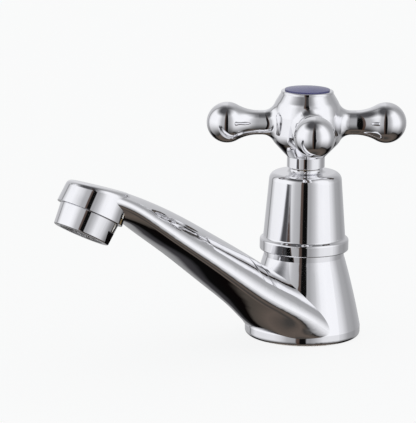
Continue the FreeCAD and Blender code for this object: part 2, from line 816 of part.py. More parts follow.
def make_spindle():
    body = new_body("spindle")
    spline_foot = handle_foot - spline_sink
    groove = o_ring_radius * 2 + o_ring_slack
    low_groove = thrust_top + o_ring_start
    high_groove = low_groove + o_ring_spacing
    groove_root = stem_radius - 2 * o_ring_radius - o_ring_nip
    turned(body, "Stem", [
        (0, spindle_foot), (barrel_radius, spindle_foot, fine_round), (barrel_radius, barrel_top),
        (stem_radius, barrel_top), (stem_radius, low_groove), (groove_root, low_groove),
        (groove_root, low_groove + groove), (stem_radius, low_groove + groove),
        (stem_radius, high_groove), (groove_root, high_groove),
        (groove_root, high_groove + groove), (stem_radius, high_groove + groove),
        (stem_radius, clip_floor), (stem_radius - clip_grip, clip_floor),
        (stem_radius - clip_grip, clip_top), (stem_radius, clip_top),
        (stem_radius, spline_foot), (0, spline_foot)])
    padded(body, "Spline", star(spline_radius, spline_tooth), spline_top - spline_foot,
           plane="XY_Plane", shift=(0, 0, spline_foot))
    turned(body, "ThreadBore", [
        (0, spindle_foot), (barrel_bore_radius, spindle_foot),
        (barrel_bore_radius, barrel_bore_top),
        (0, barrel_bore_top + barrel_cone)], cut=True)
    screw_floor = spline_top - handle_screw_length
    turned(body, "ScrewBore", [
        (0, screw_floor), (handle_screw_radius + thread_gap, screw_floor + drill_tip),
        (handle_screw_radius + thread_gap, spline_top), (0, spline_top)], cut=True)
    return body


def make_o_rings():
    body = new_body("spindle_o_rings")
    middle = stem_radius - o_ring_radius
    for index in range(2):
        level = thrust_top + o_ring_start + o_ring_radius + o_ring_slack / 2 + index * o_ring_spacing
        sketch = new_sketch(body, f"Ring{index}Outline")
        circle = sketch.addGeometry(Part.Circle(
            FreeCAD.Vector(middle.value, level.value, 0), FreeCAD.Vector(0, 0, 1),
            o_ring_radius.value), False)
        place(sketch, circle, 3, "centre", middle, level)
        hold_radius(sketch, circle, "radius", o_ring_radius)
        feature = body.newObject("PartDesign::Revolution", f"Ring{index}")
        feature.Profile = sketch
        feature.ReferenceAxis = (sketch, ["V_Axis"])
        feature.Angle = 360.0
        doc.recompute()
    return body


def make_clip():
    body = new_body("retaining_clip")
    hold = stem_radius - clip_grip + thread_gap
    turned(body, "Clip", [
        (hold, clip_floor + shade_gap), (clip_radius, clip_floor + shade_gap),
        (clip_radius, clip_top - shade_gap), (hold, clip_top - shade_gap)], angle=360 - clip_opening)
    return body


# ---------------------------------------------------------------- the rising valve

def make_valve_carrier():
    body = new_body("valve_carrier")
    turned(body, "Plate", [
        (0, plate_floor), (carrier_plate_radius, plate_floor),
        (carrier_plate_radius, plate_top, small_round), (0, plate_top)])
    padded(body, "Guide", hexagon(guide_hex), guide_length, plane="XY_Plane", shift=(0, 0, plate_top))
    turned(body, "Stem", [
        (0, plate_top), (carrier_stem_radius, plate_top), (carrier_stem_radius, carrier_top, small_round),
        (0, carrier_top)])
    turned(body, "ScrewBore", [
        (0, plate_floor), (washer_screw_radius + thread_gap, plate_floor),
        (washer_screw_radius + thread_gap, plate_floor + washer_screw_length),
        (0, plate_floor + washer_screw_length + drill_tip)], cut=True)
    return body


def make_valve_washer():
    body = new_body("valve_washer")
    turned(body, "Washer", [
        (washer_screw_radius + clip_gap, seat_height), (carrier_plate_radius, seat_height, small_round),
        (carrier_plate_radius, plate_floor), (washer_screw_radius + clip_gap, plate_floor)])
    return body


def screw(node, radius, head_radius, head_height, head_level, tip_level, slot):
    """A slotted screw.  Its head stands beyond head_level, away from the tip, and the slot is square."""
    body = new_body(node)
    down = tip_level.value < head_level.value
    crown = head_level + head_height if down else head_level - head_height
    points = [(0, tip_level), (radius, tip_level), (radius, head_level), (head_radius, head_level),
              (head_radius, crown, fine_round), (0, crown)]
    turned(body, "Screw", points)
    half = slot / 2
    floor = crown - slot if down else crown + slot
    low, high = (floor, crown) if down else (crown, floor)
    padded(body, "Slot", [(-half, low), (half, low), (half, high), (-half, high)],
           4 * head_radius, cut=True, through=True, plane="XZ_Plane")
    return body


# ---------------------------------------------------------------- the cross handle

def make_cross_handle():
    body = new_body("cross_handle")
    turned(body, "Hub", [
        (0, handle_foot), (handle_neck_radius, handle_foot, fine_round), (handle_neck_radius, neck_top),
        (hub_radius, arm_height - hub_belly_drop, hub_round),
        (hub_shoulder_radius, arm_height + hub_shoulder_rise, hub_round),
        (hub_cheek_radius, arm_height + hub_cheek_rise, hub_round),
        (hub_rim_radius, hub_shoulder), (hub_rim_radius, hub_top, small_round), (0, hub_top)])
    # each arm: a short round stem with a full root, which swells into a ball beyond its waist
    stem = turned(body, "ArmStem", [
        (arm_stem_start, 0), (arm_neck_reach, 0), (arm_neck_reach, arm_neck_radius),
        (arm_stem_start, arm_neck_radius)], axis="H_Axis", shift=(0, arm_height, 0))
    stems = round_pattern(body, "ArmStems", stem)
    root_edges = []
    for number, edge in enumerate(stems.Shape.Edges):
        out = math.hypot(edge.CenterOfMass.x, edge.CenterOfMass.y)
        on_root = arm_stem_start.value < out < arm_neck_reach.value - 1
        if on_root and isinstance(edge.Curve, Part.BSplineCurve):
            root_edges.append(f"Edge{number + 1}")
    rounding = body.newObject("PartDesign::Fillet", "ArmRoots")
    rounding.Base = (stems, root_edges)
    rounding.Radius = arm_root_round.value
    bind(rounding, "Radius", arm_root_round)
    doc.recompute()
    end = turned(body, "ArmEnd", [
        (arm_neck_reach, 0), (arm_reach + arm_ball_radius, 0), ("arc", arm_ball_radius, 1),
        (arm_join_reach, arm_join_height), ("arc", arm_throat, -1), (arm_neck_reach, arm_neck_radius)],
        axis="H_Axis", shift=(0, arm_height, 0))
    round_pattern(body, "ArmEnds", end)
    turned(body, "TopWell", [
        (0, web_floor), (handle_screw_radius + drill_gap, web_floor),
        (handle_screw_radius + drill_gap, web_top),
        (disc_plug_radius + fine_gap, web_top), (disc_plug_radius + fine_gap, disc_floor),
        (disc_radius + disc_gap, disc_floor), (disc_radius + disc_gap, hub_top), (0, hub_top)], cut=True)
    padded(body, "SplineSocket", star(spline_radius + spline_gap, spline_tooth), web_floor - handle_foot,
           cut=True, reverse=True, plane="XY_Plane", shift=(0, 0, handle_foot))
    turn_body(body, handle_angle)
    return body


def round_pattern(body, name, original):
    """Copies of a feature all round the hub, one for each arm."""
    pattern = body.newObject("PartDesign::PolarPattern", name)
    pattern.Originals = [original]
    pattern.Axis = (origin_item(body, "Z_Axis"), [""])
    pattern.Angle = 360.0
    bind(pattern, "Occurrences", arm_count)
    body.Tip = pattern
    doc.recompute()
    return pattern


def turn_body(body, angle):
    turn = FreeCAD.Rotation(FreeCAD.Vector(0, 0, 1), angle.value)
    body.Placement = FreeCAD.Placement(FreeCAD.Vector(), turn)
    bind(body, "Placement.Rotation.Angle", angle)


def make_index_disc():
    body = new_body("index_disc")
    rim_level = hub_top + disc_thickness * disc_edge_share
    turned(body, "Disc", [
        (0, disc_plug_foot), (disc_plug_radius, disc_plug_foot, fine_round),
        (disc_plug_radius, disc_floor), (disc_radius, disc_floor), (disc_radius, rim_level),
        ("arc", disc_dome_arc, 1), (0, rim_level + disc_dome)])
    turned(body, "Hollow", [
        (0, disc_plug_foot), (disc_plug_radius - insert_step, disc_plug_foot),
        (disc_plug_radius - insert_step, disc_floor), (0, disc_floor)], cut=True)
    return body


# ---------------------------------------------------------------- aerator

def place_on_head(body):
    """Puts a piece made about +Z under the head, its own +Z running back up the head's axis."""
    bind(body, "Placement.Base.y", -spout_reach)
    bind(body, "Placement.Base.z", head_height)
    bind(body, "Placement.Rotation.Angle", head_tilt)
    body.Placement = FreeCAD.Placement(
        FreeCAD.Vector(0, -spout_reach.value, head_height.value),
        FreeCAD.Rotation(FreeCAD.Vector(-1, 0, 0), head_tilt.value))


def make_aerator_housing():
    body = new_body("aerator_housing")
    bore = socket_radius - thread_gap - aerator_wall
    neck_top_level = socket_depth - aerator_washer_thickness
    turned(body, "Ring", [
        (bore - aerator_lip, -aerator_length), (aerator_end_radius, -aerator_length, small_round),
        (aerator_top_radius, 0, fine_round), (socket_radius - thread_gap, 0),
        (socket_radius - thread_gap, neck_top_level), (bore, neck_top_level),
        (bore, aerator_lip - aerator_length), (bore - aerator_lip, aerator_lip - aerator_length)])
    flat = aerator_end_radius - flat_depth
    for side in (1, -1):
        name = "FlatRight" if side > 0 else "FlatLeft"
        near = flat * side
        far = (aerator_top_radius + overlap) * side
        low = -aerator_length - overlap
        high = flat_height - aerator_length
        corners = [(near, low), (far, low), (far, high), (near, high)]
        padded(body, name, corners, 4 * aerator_top_radius, cut=True, through=True, plane="XZ_Plane",
               turn=((0, 1, 0), flat_turn))
    place_on_head(body)
    return body


def aerator_disc(node, radius, low, high, hole=None):
    body = new_body(node)
    if hole is None:
        turned(body, "Disc", [(0, low), (radius, low), (radius, high), (0, high)])
    else:
        turned(body, "Ring", [(hole, low), (radius, low), (radius, high), (hole, high)])
    place_on_head(body)
    return body


def make_aerator_inside():
    bore = socket_radius - thread_gap - aerator_wall
    shelf = aerator_lip - aerator_length
    mesh_top = shelf + mesh_thickness
    neck_top_level = socket_depth - aerator_washer_thickness
    mesh = aerator_disc("aerator_mesh", bore - fine_gap, shelf, mesh_top)
    insert = new_body("aerator_insert")
    rim = neck_top_level - insert_step
    turned(insert, "Cup", [
        (0, mesh_top), (bore - fine_gap, mesh_top), (bore - fine_gap, neck_top_level),
        (bore - insert_wall, neck_top_level), (bore - insert_wall, rim), (0, rim)])
    place_on_head(insert)
    washer = aerator_disc("aerator_washer", socket_radius - recess_gap, neck_top_level, socket_depth,
                          hole=outlet_chamber_radius - washer_overlap)
    return [mesh, insert, washer]


# ---------------------------------------------------------------- tail and its fixings

def make_tail():
    body = new_body("tail")
    turned(body, "Tube", [
        (tail_bore_radius, -tail_length), (half_inch_radius, -tail_length, tail_relief_depth),
        (half_inch_radius, tail_top), (tail_bore_radius, tail_top)])
    groove = half_inch_radius - tail_relief_depth
    beyond = half_inch_radius + overlap
    turned(body, "Relief", [
        (groove, tail_relief_foot), (beyond, tail_relief_foot),
        (beyond, tail_relief_top), (groove, tail_relief_top)], cut=True)
    return body


def make_back_nut():
    body = new_body("back_nut")
    turned(body, "Flange", [
        (0, nut_flange_foot), (washer_radius, nut_flange_foot), (washer_radius, nut_top), (0, nut_top)])
    padded(body, "Hex", hexagon(nut_hex), nut_height, reverse=True,
           plane="XY_Plane", shift=(0, 0, nut_flange_foot))
    turned(body, "Thread", [
        (0, nut_foot), (female_radius, nut_foot),
        (female_radius, nut_top), (0, nut_top)], cut=True)
    return body


# ---------------------------------------------------------------- the whole tap

nodes = [
    make_tap_body(),
    make_bonnet(),
    ring("bonnet_seal", seal_inner + fine_gap, seal_outer - fine_gap, seal_floor, body_height),
    make_headwork(),
    ring("headwork_seal", half_inch_radius + clip_gap, seal_inner - hidden_gap, body_height, hex_floor),
    make_spindle(),
    make_o_rings(),
    ring("thrust_washer", stem_radius + fine_gap, bore_radius - fine_gap, thrust_floor, thrust_top),
    make_clip(),
    make_valve_carrier(),
    make_valve_washer(),
    screw("washer_screw", washer_screw_radius, washer_screw_head_radius, washer_screw_head_height,
          seat_height, plate_floor + washer_screw_length - drill_tip, washer_screw_slot),
    make_cross_handle(),
    screw("handle_screw", handle_screw_radius, handle_screw_head_radius, handle_screw_head_height,
          web_top, spline_top - handle_screw_length + screw_tip_gap, handle_screw_slot),
    make_index_disc(),
    make_aerator_housing(),
    *make_aerator_inside(),
    make_tail(),
    ring("tail_seal", tail_bore_radius + recess_gap, half_inch_radius - recess_gap,
         tail_top, inlet_ledge),
    ring("base_gasket", half_inch_radius + loose_gap, gasket_radius, size_of(0), gasket_thickness),
    ring("deck_washer", half_inch_radius + loose_gap, washer_radius, nut_top, deck_underside),
    make_back_nut(),
]
doc.recompute()
for item in doc.Objects:
    if "Invalid" in item.State or "Error" in item.State:
        raise ValueError(f"{item.Label}: {item.State}")
for node in nodes:
    if node.Shape.isNull() or not node.Shape.isValid():
        raise ValueError(f"{node.Label} has no sound shape")
os.makedirs("parts", exist_ok=True)
for node in nodes:
    node.Shape.exportStep(f"parts/{node.Label}.step")
    box = node.Shape.BoundBox
    print(f"{node.Label:18s} solids {len(node.Shape.Solids)} volume {node.Shape.Volume:10.1f} "
          f"z {box.ZMin:7.2f} to {box.ZMax:7.2f}")
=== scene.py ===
import bmesh
import bpy
import json
import math
from mathutils import Matrix, Vector


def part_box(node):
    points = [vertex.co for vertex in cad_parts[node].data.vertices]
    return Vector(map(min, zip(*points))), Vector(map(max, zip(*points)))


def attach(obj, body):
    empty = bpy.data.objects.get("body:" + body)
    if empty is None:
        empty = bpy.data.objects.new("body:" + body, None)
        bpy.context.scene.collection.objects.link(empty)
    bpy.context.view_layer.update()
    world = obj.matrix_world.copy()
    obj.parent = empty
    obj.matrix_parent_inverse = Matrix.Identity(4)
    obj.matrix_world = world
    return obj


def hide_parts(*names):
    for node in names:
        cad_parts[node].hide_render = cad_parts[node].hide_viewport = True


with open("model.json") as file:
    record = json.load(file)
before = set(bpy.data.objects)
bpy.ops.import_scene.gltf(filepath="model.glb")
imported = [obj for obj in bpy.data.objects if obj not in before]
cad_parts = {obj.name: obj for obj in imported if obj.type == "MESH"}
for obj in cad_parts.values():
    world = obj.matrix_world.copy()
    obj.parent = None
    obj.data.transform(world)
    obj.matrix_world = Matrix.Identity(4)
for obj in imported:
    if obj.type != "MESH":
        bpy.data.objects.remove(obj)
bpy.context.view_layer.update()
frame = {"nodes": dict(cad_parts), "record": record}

# A single basin pillar tap with a cross handle.  Metres, +Z up, the spout along -Y.

mm = 0.001


# ---------------------------------------------------------------- shader maths

class Socket:
    """A node's output that can be used in Python expressions: each operator adds a Math node."""

    def __init__(self, owner, link):
        self.owner = owner
        self.link = link

    def _maths(self, operation, *values):
        return self.owner.node("ShaderNodeMath", {"operation": operation}, list(values))

    def __add__(self, other):
        return self._maths("ADD", self, other)

    __radd__ = __add__

    def __sub__(self, other):
        return self._maths("SUBTRACT", self, other)

    def __rsub__(self, other):
        return self._maths("SUBTRACT", other, self)

    def __mul__(self, other):
        return self._maths("MULTIPLY", self, other)

    __rmul__ = __mul__

    def __truediv__(self, other):
        return self._maths("DIVIDE", self, other)

    def power(self, other):
        return self._maths("POWER", self, other)

    def absolute(self):
        return self._maths("ABSOLUTE", self)

    def sine(self):
        return self._maths("SINE", self)

    def arc_sine(self):
        return self._maths("ARCSINE", self)

    def over(self, other):
        """The angle whose tangent is self over other, in radians."""
        return self._maths("ARCTAN2", self, other)

    def smooth(self, start, end):
        """0 below start, 1 above end, and a smooth step between them."""
        return self.owner.node(
            "ShaderNodeMapRange", {"interpolation_type": "SMOOTHSTEP"}, {0: self, 1: start, 2: end})


class Shader:
    """The node tree of a material or a world."""

    def __init__(self, owner):
        owner.use_nodes = True
        self.tree = owner.node_tree
        self.tree.nodes.clear()

    def node(self, kind, settings=None, inputs=None, output=0):
        made = self.tree.nodes.new(kind)
        for name, value in (settings or {}).items():
            setattr(made, name, value)
        pairs = enumerate(inputs) if isinstance(inputs, list) else (inputs or {}).items()
        for key, value in pairs:
            socket = made.inputs[key]
            if isinstance(value, Socket):
                self.tree.links.new(value.link, socket)
            else:
                socket.default_value = value
        return Socket(self, made.outputs[output])

    def blend(self, factor, first, second):
        """Mixes two colours."""
        return self.node("ShaderNodeMix", {"data_type": "RGBA"}, {0: factor, 6: first, 7: second},
                         output=2)

    def ramp(self, factor, stops):
        """Colours that follow each other along factor, each stop a place and a colour."""
        socket = self.node("ShaderNodeValToRGB", None, {0: factor})
        elements = socket.link.node.color_ramp.elements
        while len(elements) > 1:
            elements.remove(elements[-1])
        for index, (place, colour) in enumerate(stops):
            element = elements[0] if index == 0 else elements.new(place)
            element.position = place
            element.color = (*colour, 1.0)
        return socket

    def place(self):
        """The object's own coordinates."""
        return self.node("ShaderNodeTexCoord", output=3)

    def parts(self, vector):
        split = self.node("ShaderNodeSeparateXYZ", None, [vector]).link.node
        return [Socket(self, output) for output in split.outputs]

    def noise(self, vector, scale, detail, roughness=0.5):
        return self.node("ShaderNodeTexNoise", None, {
            "Vector": vector, "Scale": scale, "Detail": detail, "Roughness": roughness})

    def stretched(self, vector, scale):
        return self.node("ShaderNodeMapping", None, {"Vector": vector, "Scale": scale})

    def bump(self, height, distance, strength):
        return self.node("ShaderNodeBump", None, {
            "Height": height, "Distance": distance, "Strength": strength})

    def principled(self, inputs):
        """Ends the tree in the surface shader that all finishes use."""
        surface = self.node("ShaderNodeBsdfPrincipled", None, inputs)
        self.finish(surface, "ShaderNodeOutputMaterial")

    def finish(self, surface, kind):
        self.tree.links.new(surface.link, self.tree.nodes.new(kind).inputs["Surface"])


def rgb(red, green, blue):
    return (red, green, blue, 1.0)


def new_material(name):
    material = bpy.data.materials.new(name)
    return material, Shader(material)


# ---------------------------------------------------------------- finishes

def polished_chrome():
    """Bright plated metal: slight hand-polish waviness, faint wipe marks and a few fine spots."""
    material, shader = new_material("polished_chrome")
    where = shader.place()
    along_wipes = shader.stretched(where, (260.0, 260.0, 90.0))
    wipes = shader.noise(along_wipes, scale=1.0, detail=4.0, roughness=0.6)
    haze = wipes.smooth(0.45, 0.75)
    spots = shader.noise(where, scale=900.0, detail=1.0).smooth(0.70, 0.78)
    waves = shader.noise(where, scale=70.0, detail=1.0)
    clean, wiped = rgb(0.95, 0.95, 0.965), rgb(0.91, 0.91, 0.935)
    mirror, haze_adds, spots_add = 0.035, 0.03, 0.05
    shader.principled({
        "Base Color": shader.blend(haze * 0.5, clean, wiped),
        "Metallic": 1.0,
        "Roughness": mirror + haze * haze_adds + spots * spots_add,
        "Normal": shader.bump(waves, distance=0.00012, strength=0.35),
    })
    return material


def blue_index():
    """The index disc: glossy moulded plastic with a faint flow texture."""
    material, shader = new_material("blue_index")
    flow = shader.noise(shader.place(), scale=300.0, detail=3.0)
    deep, pale = rgb(0.070, 0.070, 0.185), rgb(0.100, 0.100, 0.235)
    gloss, flow_adds = 0.20, 0.08
    shader.principled({
        "Base Color": shader.blend(flow, deep, pale),
        "Roughness": gloss + flow * flow_adds,
        "Specular IOR Level": 0.35,
        "Coat Weight": 0.12,
        "Coat Roughness": 0.05,
        "Normal": shader.bump(flow, distance=0.00002, strength=0.4),
    })
    return material


def turned_brass():
    """Machined brass, with fine turning lines round the axis and a little tarnish."""
    material, shader = new_material("turned_brass")
    where = shader.place()
    height = shader.parts(where)[2]
    lines_per_metre = 9000.0
    lines = (height * lines_per_metre).sine() * 0.5 + 0.5
    tarnish = shader.noise(where, scale=120.0, detail=4.0, roughness=0.6).smooth(0.4, 0.75)
    fresh, dull = rgb(0.72, 0.53, 0.24), rgb(0.46, 0.31, 0.13)
    cut, tarnish_adds, lines_add = 0.22, 0.2, 0.05
    shader.principled({
        "Base Color": shader.blend(tarnish, fresh, dull),
        "Metallic": 1.0,
        "Roughness": cut + tarnish * tarnish_adds + lines * lines_add,
        "Normal": shader.bump(lines, distance=0.00001, strength=0.5),
    })
    return material


def stainless():
    """Satin stainless steel, brushed finely."""
    material, shader = new_material("stainless")
    along_brush = shader.stretched(shader.place(), (400.0, 400.0, 6000.0))
    brushed = shader.noise(along_brush, scale=1.0, detail=3.0)
    dark, light = rgb(0.52, 0.52, 0.52), rgb(0.64, 0.64, 0.63)
    satin, brush_adds = 0.24, 0.16
    shader.principled({
        "Base Color": shader.blend(brushed, dark, light),
        "Metallic": 1.0,
        "Roughness": satin + brushed * brush_adds,
        "Normal": shader.bump(brushed, distance=0.00001, strength=0.4),
    })
    return material


def soft_finish(name, dark, light, roughness, grain, depth):
    """A matte moulded or cut material with a fine grain."""
    material, shader = new_material(name)
    where = shader.place()
    cloud_coarser, grain_adds = 12.0, 0.12
    speckle = shader.noise(where, scale=grain, detail=4.0, roughness=0.65)
    cloud = shader.noise(where, scale=grain / cloud_coarser, detail=2.0)
    shader.principled({
        "Base Color": shader.blend(cloud * 0.6 + speckle * 0.4, dark, light),
        "Roughness": roughness + speckle * grain_adds,
        "Normal": shader.bump(speckle, distance=depth, strength=0.6),
    })
    return material


finishes = {
    "chrome": polished_chrome(),
    "index_blue": blue_index(),
    "brass": turned_brass(),
    "stainless": stainless(),
    "black_rubber": soft_finish(
        "black_rubber", dark=rgb(0.016, 0.016, 0.017), light=rgb(0.03, 0.03, 0.032),
        roughness=0.62, grain=2400.0, depth=0.00003),
    "pale_rubber": soft_finish(
        "pale_rubber", dark=rgb(0.62, 0.62, 0.60), light=rgb(0.74, 0.74, 0.72),
        roughness=0.7, grain=1800.0, depth=0.00004),
    "red_fibre": soft_finish(
        "red_fibre", dark=rgb(0.26, 0.045, 0.03), light=rgb(0.38, 0.08, 0.05),
        roughness=0.8, grain=3200.0, depth=0.00004),
    "white_nylon": soft_finish(
        "white_nylon", dark=rgb(0.74, 0.74, 0.71), light=rgb(0.84, 0.84, 0.81),
        roughness=0.42, grain=1500.0, depth=0.00002),
}


def wear(piece, finish):
    piece.data.materials.clear()
    piece.data.materials.append(finishes[finish])


slots = {part["node"]: part["material_slot"] for part in frame["record"]["subparts"]}
for node, piece in frame["nodes"].items():
    wear(piece, slots[node])


# ---------------------------------------------------------------- wound and woven details

merge_distance = 0.0005 * mm
sharp_angle = math.radians(32.0)
quarter_turn = math.pi / 2

# The outlet's axis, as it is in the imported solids.
head_place = Vector((0.0, -102.5 * mm, 60.0 * mm))
head_tilt = 27.9
aerator_shelf = -7.4 * mm

# The woven screen.  The gaps between its wires are set in the recipe.
screen_lift = 0.25 * mm
bends_per_gap_share = 0.25
wire_sides, rim_sides, rim_steps = 6, 8, 96
rim_wire_share, rim_inset_share, trim_share = 2.1, 2.2, 2.0

# The tail and its thread, a half-inch pipe thread.
tail_low, tail_high = (corner.z for corner in map(Vector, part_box("tail")))
tail_crest = 10.4775 * mm
tail_bore = 7.0 * mm
thread_pitch = 1.814 * mm
thread_turns = 26.0
thread_steps = 72
tail_core = tail_crest - 1.162 * mm
thread_sink = 0.05 * mm
thread_foot = tail_low + 1.2 * mm
ridge_foot_share, ridge_top_share = 0.96, 0.16
bore_chamfer, end_chamfer, end_rise = 0.4 * mm, 0.5 * mm, 0.6 * mm
shoulder_drop, shoulder_inset = 0.4 * mm, 0.2 * mm
tube_steps = 96


class Recipe:
    """A tree of geometry nodes with named sizes, which ends in one real mesh of one finish."""

    def __init__(self, name, **sizes):
        self.tree = bpy.data.node_groups.new(name, "GeometryNodeTree")
        self.entry = self.tree.nodes.new("NodeGroupInput")
        self.tree.interface.new_socket("Geometry", in_out="OUTPUT", socket_type="NodeSocketGeometry")
        self.identifiers = {}
        self.sizes = sizes
        for word, value in sizes.items():
            kind = "NodeSocketInt" if isinstance(value, int) else "NodeSocketFloat"
            socket = self.tree.interface.new_socket(word, in_out="INPUT", socket_type=kind)
            self.identifiers[word] = socket.identifier

    def size(self, word):
        return Socket(self, self.entry.outputs[word])

    def node(self, kind, settings=None, inputs=None, output=0):
        """Adds a node.  A tuple of sockets links each of them to the same input."""
        made = self.tree.nodes.new(kind)
        for name, value in (settings or {}).items():
            setattr(made, name, value)
        pairs = enumerate(inputs) if isinstance(inputs, list) else (inputs or {}).items()
        for key, value in pairs:
            socket = made.inputs[key]
            several = isinstance(value, tuple) and isinstance(value[0], Socket)
            for item in value if several else [value]:
                if isinstance(item, Socket):
                    self.tree.links.new(item.link, socket)
                else:
                    socket.default_value = item
        return Socket(self, made.outputs[output])

    def vector(self, x, y, z):
        return self.node("ShaderNodeCombineXYZ", None, [x, y, z])

    def circle(self, steps, radius):
        return self.node("GeometryNodeCurvePrimitiveCircle", None, {
            "Resolution": steps, "Radius": radius})

    def moved(self, geometry, shift=(0.0, 0.0, 0.0), turn=(0.0, 0.0, 0.0)):
        return self.node("GeometryNodeTransform", None, {
            "Geometry": geometry, "Translation": shift, "Rotation": turn})

    def swept(self, path, outline):
        return self.node("GeometryNodeCurveToMesh", None, {
            "Curve": path, "Profile Curve": outline, "Fill Caps": True})

    def finish(self, geometry, finish):
        real = self.node("GeometryNodeRealizeInstances", None, [geometry])
        dressed = self.node("GeometryNodeSetMaterial", None, {
            "Geometry": real, "Material": finishes[finish]})
        self.tree.links.new(dressed.link, self.tree.nodes.new("NodeGroupOutput").inputs[0])

    def make(self, name, finish):
        """Carries out the recipe and returns the result as a plain piece."""
        holder = bpy.data.objects.new(name + "_recipe", bpy.data.meshes.new(name + "_recipe"))
        bpy.context.scene.collection.objects.link(holder)
        modifier = holder.modifiers.new("recipe", "NODES")
        modifier.node_group = self.tree
        for word, value in self.sizes.items():
            modifier[self.identifiers[word]] = value
        ready = holder.evaluated_get(bpy.context.evaluated_depsgraph_get())
        mesh = bpy.data.meshes.new_from_object(ready)
        bpy.data.objects.remove(holder)
        return new_piece(name, mesh, finish)


def new_piece(name, mesh, finish):
    """A piece whose closed shells all face outwards, with soft shading and crisp edges."""
    shell = bmesh.new()
    shell.from_mesh(mesh)
    bmesh.ops.remove_doubles(shell, verts=shell.verts, dist=merge_distance)
    bmesh.ops.recalc_face_normals(shell, faces=shell.faces)
    shell.to_mesh(mesh)
    shell.free()
    mesh.name = name
    mesh.shade_smooth()
    mesh.set_sharp_from_angle(angle=sharp_angle)
    piece = bpy.data.objects.new(name, mesh)
    bpy.context.scene.collection.objects.link(piece)
    wear(piece, finish)
    return piece


def waved_wires(recipe, across):
    """One set of wires, waved so that it passes over and under the set at right angles to it."""
    reach, gap, wire, count = (recipe.size(word) for word in ("reach", "gap", "wire", "count"))
    stretch = gap * (count - 1.0) * 0.5
    line = recipe.node("GeometryNodeCurvePrimitiveLine", None, {
        "Start": recipe.vector(stretch * -1.0, 0.0, 0.0), "End": recipe.vector(stretch, 0.0, 0.0)})
    rows = recipe.node("GeometryNodeMeshLine", {"mode": "OFFSET"}, {
        "Count": count, "Start Location": recipe.vector(0.0, stretch * -1.0, 0.0),
        "Offset": recipe.vector(0.0, gap, 0.0)})
    spread = recipe.node("GeometryNodeInstanceOnPoints", None, {"Points": rows, "Instance": line})
    lines = recipe.node("GeometryNodeRealizeInstances", None, [spread])
    lines = recipe.node("GeometryNodeResampleCurve", {"mode": "LENGTH"}, {
        "Curve": lines, "Length": gap * bends_per_gap_share})
    place = recipe.node("GeometryNodeInputPosition")
    x, y = (recipe.node("ShaderNodeSeparateXYZ", None, [place], output) for output in (0, 1))
    half_waves = (x + y) / gap + (1.0 if across else 0.0)
    wave = (half_waves * math.pi + quarter_turn).sine() * wire * (-1.0 if across else 1.0)
    lines = recipe.node("GeometryNodeSetPosition", None, {
        "Geometry": lines, "Offset": recipe.vector(0.0, 0.0, wave)})
    outside = recipe.node("FunctionNodeCompare", {"operation": "GREATER_THAN"}, {
        "A": (x * x + y * y).power(0.5), "B": reach - wire * trim_share})
    lines = recipe.node("GeometryNodeDeleteGeometry", {"domain": "POINT"}, {
        "Geometry": lines, "Selection": outside})
    if across:
        lines = recipe.moved(lines, turn=(0.0, 0.0, quarter_turn))
    return recipe.swept(lines, recipe.circle(wire_sides, wire))


def woven_screen():
    """The outlet's screen: two sets of waved wires that pass over and under each other, in a rim."""
    recipe = Recipe("woven_screen", reach=9.2 * mm, gap=0.74 * mm, wire=0.11 * mm, count=25)
    along = waved_wires(recipe, across=False)
    across = waved_wires(recipe, across=True)
    reach, wire = recipe.size("reach"), recipe.size("wire")
    rim = recipe.swept(recipe.circle(rim_steps, reach - wire * rim_inset_share),
                       recipe.circle(rim_sides, wire * rim_wire_share))
    joined = recipe.node("GeometryNodeJoinGeometry", None, [(along, across, rim)])
    level = aerator_shelf + screen_lift
    tilt = math.radians(-head_tilt)
    shift = head_place + Vector((0.0, level * math.sin(-tilt), level * math.cos(tilt)))
    recipe.finish(recipe.moved(joined, tuple(shift), (tilt, 0.0, 0.0)), "stainless")
    return recipe.make("outlet_screen", "stainless")


def tail_thread():
    """One ridge wound round the tail, from just above its end to just below the base."""
    recipe = Recipe("tail_thread", core=tail_core - thread_sink, crest=tail_crest,
                    pitch=thread_pitch, turns=thread_turns)
    core, crest, pitch, turns = (recipe.size(word) for word in ("core", "crest", "pitch", "turns"))
    middle = (core + crest) * 0.5
    spiral = recipe.node("GeometryNodeCurveSpiral", None, {
        "Resolution": thread_steps, "Rotations": turns, "Start Radius": middle,
        "End Radius": middle, "Height": turns * pitch})
    upright = recipe.node("GeometryNodeSetCurveNormal", {"mode": "Z_UP"}, [spiral])
    ridge = recipe.node("GeometryNodeCurvePrimitiveQuadrilateral", {"mode": "TRAPEZOID"}, {
        "Bottom Width": pitch * ridge_foot_share, "Top Width": pitch * ridge_top_share,
        "Offset": 0.0, "Height": crest - core})
    ridge = recipe.moved(ridge, turn=(0.0, 0.0, quarter_turn))
    wound = recipe.moved(recipe.swept(upright, ridge), (0.0, 0.0, thread_foot))
    recipe.finish(wound, "brass")
    return recipe.make("tail_thread", "brass")


def turned_tube(name, outline, finish):
    """A closed outline of radii and heights, turned round the upright axis."""
    shape = bmesh.new()
    rings = []
    for step in range(tube_steps):
        angle = 2 * math.pi * step / tube_steps
        rings.append([shape.verts.new((radius * math.cos(angle), radius * math.sin(angle), height))
                      for radius, height in outline])
    for step, ring in enumerate(rings):
        beside = rings[(step + 1) % tube_steps]
        for index in range(len(outline)):
            following = (index + 1) % len(outline)
            shape.faces.new((ring[index], ring[following], beside[following], beside[index]))
    mesh = bpy.data.meshes.new(name)
    shape.to_mesh(mesh)
    shape.free()
    return new_piece(name, mesh, finish)


screen = woven_screen()
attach(screen, "body")
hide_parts("aerator_mesh")

